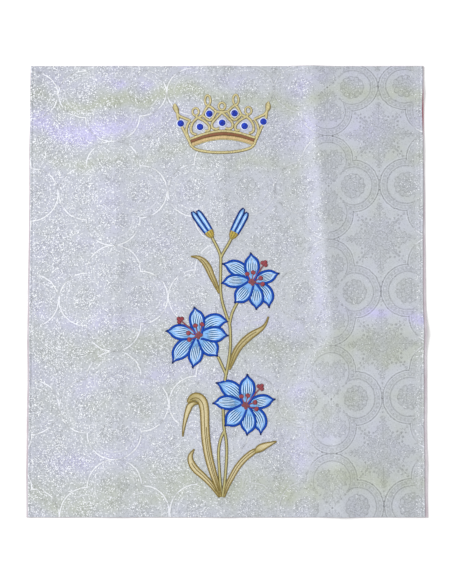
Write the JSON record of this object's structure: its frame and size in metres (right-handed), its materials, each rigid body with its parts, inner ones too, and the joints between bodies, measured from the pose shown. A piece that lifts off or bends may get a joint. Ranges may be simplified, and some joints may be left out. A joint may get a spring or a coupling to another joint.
{
  "type": "ambo cover",
  "caption": "Lined brocade panel for the front of an ambo, lying face up, with a raised embroidered crown set with stones above a spray of lilies.",
  "frame": {"origin": "middle of the underside of the cloth as it lies flat, on the surface", "axes": "+X across the cloth to the right, +Y up the cloth to the crown, +Z out of its face"},
  "size_m": [0.5, 0.57, 0.0085],
  "materials": {
    "silver_brocade": "silver-grey brocade with bright metal thread, satin figure on a matt ground",
    "rose_lining": "matt dusky rose lining",
    "gold_thread": "satin gold embroidery thread with brown lines",
    "olive_thread": "satin olive-gold embroidery thread",
    "russet_thread": "dark red-brown embroidery thread",
    "sky_thread": "light-blue embroidery thread in long stitches with white and dark strokes",
    "royal_thread": "royal-blue satin stitch",
    "brick_thread": "brick-red embroidery thread",
    "blue_stone": "faceted cobalt-blue stone with a foiled flat back"
  },
  "bodies": {
    "root": {"lining": "rose_lining", "panel": "silver_brocade", "crown_gold": "gold_thread", "crown_band": "russet_thread", "stone_1": "blue_stone", "stone_2": "blue_stone", "stone_3": "blue_stone", "stone_4": "blue_stone", "stone_5": "blue_stone", "stone_6": "blue_stone", "stone_7": "blue_stone", "stem_upper": "olive_thread", "stem_lower": "olive_thread", "leaf_upper": "gold_thread", "leaf_middle": "gold_thread", "leaf_tall": "gold_thread", "leaf_left": "gold_thread", "leaf_right": "gold_thread", "bloom_upper_petals": "sky_thread", "bloom_upper_outline": "royal_thread", "bloom_upper_stamens": "brick_thread", "bloom_middle_petals": "sky_thread", "bloom_middle_outline": "royal_thread", "bloom_middle_stamens": "brick_thread", "bloom_lower_petals": "sky_thread", "bloom_lower_outline": "royal_thread", "bloom_lower_stamens": "brick_thread", "bud_left_petals": "sky_thread", "bud_left_outline": "royal_thread", "bud_left_cup": "gold_thread", "bud_right_petals": "sky_thread", "bud_right_outline": "royal_thread", "bud_right_cup": "gold_thread"}
  },
  "joints": []
}
